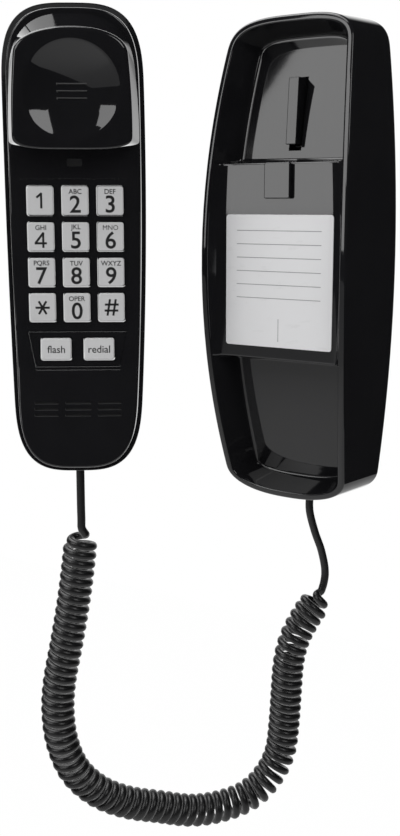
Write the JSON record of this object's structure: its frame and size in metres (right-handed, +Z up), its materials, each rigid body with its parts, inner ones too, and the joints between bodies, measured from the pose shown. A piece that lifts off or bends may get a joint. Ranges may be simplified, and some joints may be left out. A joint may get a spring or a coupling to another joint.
{
  "type": "corded telephone",
  "caption": "Black wall telephone: an arched cradle with a hook lever and a ruled card, a push-button handset with an ear block, and a curly cord between them.",
  "frame": {"origin": "middle of the two wall keyholes, on the wall plane at the back of the base", "axes": "+Z up along the base, +Y into the wall, +X to the right of someone facing the base"},
  "size_m": [0.1426, 0.1277, 0.3933],
  "materials": {
    "shell": "polished",
    "plate": "matt",
    "key": "satin",
    "card": "ruled paper",
    "cord": "satin",
    "steel": "plated",
    "brass": "plain",
    "board": "lacquer",
    "rubber": "matt"
  },
  "bodies": {
    "base": {"base_cover": "shell", "base_back_plate": "plate", "base_screws": "steel", "index_card": "card", "hook_lever_pin": "steel", "hook_switch": "plate", "base_circuit_board": "board", "ringer": "brass", "line_jack": "plate", "base_cord_jack": "plate", "cord_plug_base": "cord", "curly_cord": "cord"},
    "handset": {"handset_front_shell": "shell", "handset_back_shell": "shell", "handset_screws": "steel", "receiver": "plate", "receiver_gasket": "rubber", "microphone": "steel", "microphone_boot": "rubber", "key_membrane": "rubber", "handset_circuit_board": "board", "handset_cord_jack": "plate", "cord_plug_handset": "cord"},
    "hook_tab": {"hook_tab": "shell"},
    "hook_lever": {"hook_lever": "shell"},
    "key_1": {"key_1": "key"},
    "key_2": {"key_2": "key"},
    "key_3": {"key_3": "key"},
    "key_4": {"key_4": "key"},
    "key_5": {"key_5": "key"},
    "key_6": {"key_6": "key"},
    "key_7": {"key_7": "key"},
    "key_8": {"key_8": "key"},
    "key_9": {"key_9": "key"},
    "key_star": {"key_star": "key"},
    "key_0": {"key_0": "key"},
    "key_hash": {"key_hash": "key"},
    "key_flash": {"key_flash": "key"},
    "key_redial": {"key_redial": "key"}
  },
  "joints": [
    {"name": "handset_swing", "type": "hinge", "parent": "base", "child": "handset", "pos_m": [-0.0443, -0.05885, 0], "axis": [0, 0, 1], "range_deg": [0, 142], "deforming": ["curly_cord"]},
    {"name": "hook_lever_pivot", "type": "hinge", "parent": "base", "child": "hook_lever", "pos_m": [0, -0.01859, 0.054], "axis": [1, 0, 0], "range_deg": [-9, 0]},
    {"name": "hook_tab_slide", "type": "slide", "parent": "base", "child": "hook_tab", "axis": [0, 0, 1], "range_m": [-0.004, 0]},
    {"name": "key_1_press", "type": "slide", "parent": "handset", "child": "key_1", "axis": [-0.6157, 0.788, 0], "range_m": [0, 0.0012], "stiffness_N_per_m": 400},
    {"name": "key_2_press", "type": "slide", "parent": "handset", "child": "key_2", "axis": [-0.6157, 0.788, 0], "range_m": [0, 0.0012], "stiffness_N_per_m": 400},
    {"name": "key_3_press", "type": "slide", "parent": "handset", "child": "key_3", "axis": [-0.6157, 0.788, 0], "range_m": [0, 0.0012], "stiffness_N_per_m": 400},
    {"name": "key_4_press", "type": "slide", "parent": "handset", "child": "key_4", "axis": [-0.6157, 0.788, 0], "range_m": [0, 0.0012], "stiffness_N_per_m": 400},
    {"name": "key_5_press", "type": "slide", "parent": "handset", "child": "key_5", "axis": [-0.6157, 0.788, 0], "range_m": [0, 0.0012], "stiffness_N_per_m": 400},
    {"name": "key_6_press", "type": "slide", "parent": "handset", "child": "key_6", "axis": [-0.6157, 0.788, 0], "range_m": [0, 0.0012], "stiffness_N_per_m": 400},
    {"name": "key_7_press", "type": "slide", "parent": "handset", "child": "key_7", "axis": [-0.6157, 0.788, 0], "range_m": [0, 0.0012], "stiffness_N_per_m": 400},
    {"name": "key_8_press", "type": "slide", "parent": "handset", "child": "key_8", "axis": [-0.6157, 0.788, 0], "range_m": [0, 0.0012], "stiffness_N_per_m": 400},
    {"name": "key_9_press", "type": "slide", "parent": "handset", "child": "key_9", "axis": [-0.6157, 0.788, 0], "range_m": [0, 0.0012], "stiffness_N_per_m": 400},
    {"name": "key_star_press", "type": "slide", "parent": "handset", "child": "key_star", "axis": [-0.6157, 0.788, 0], "range_m": [0, 0.0012], "stiffness_N_per_m": 400},
    {"name": "key_0_press", "type": "slide", "parent": "handset", "child": "key_0", "axis": [-0.6157, 0.788, 0], "range_m": [0, 0.0012], "stiffness_N_per_m": 400},
    {"name": "key_hash_press", "type": "slide", "parent": "handset", "child": "key_hash", "axis": [-0.6157, 0.788, 0], "range_m": [0, 0.0012], "stiffness_N_per_m": 400},
    {"name": "key_flash_press", "type": "slide", "parent": "handset", "child": "key_flash", "axis": [-0.6157, 0.788, 0], "range_m": [0, 0.0012], "stiffness_N_per_m": 400},
    {"name": "key_redial_press", "type": "slide", "parent": "handset", "child": "key_redial", "axis": [-0.6157, 0.788, 0], "range_m": [0, 0.0012], "stiffness_N_per_m": 400}
  ],
  "couplings": [
    {"joint": "hook_lever_pivot", "follows": "handset_swing", "ratio": -0.06338}
  ]
}
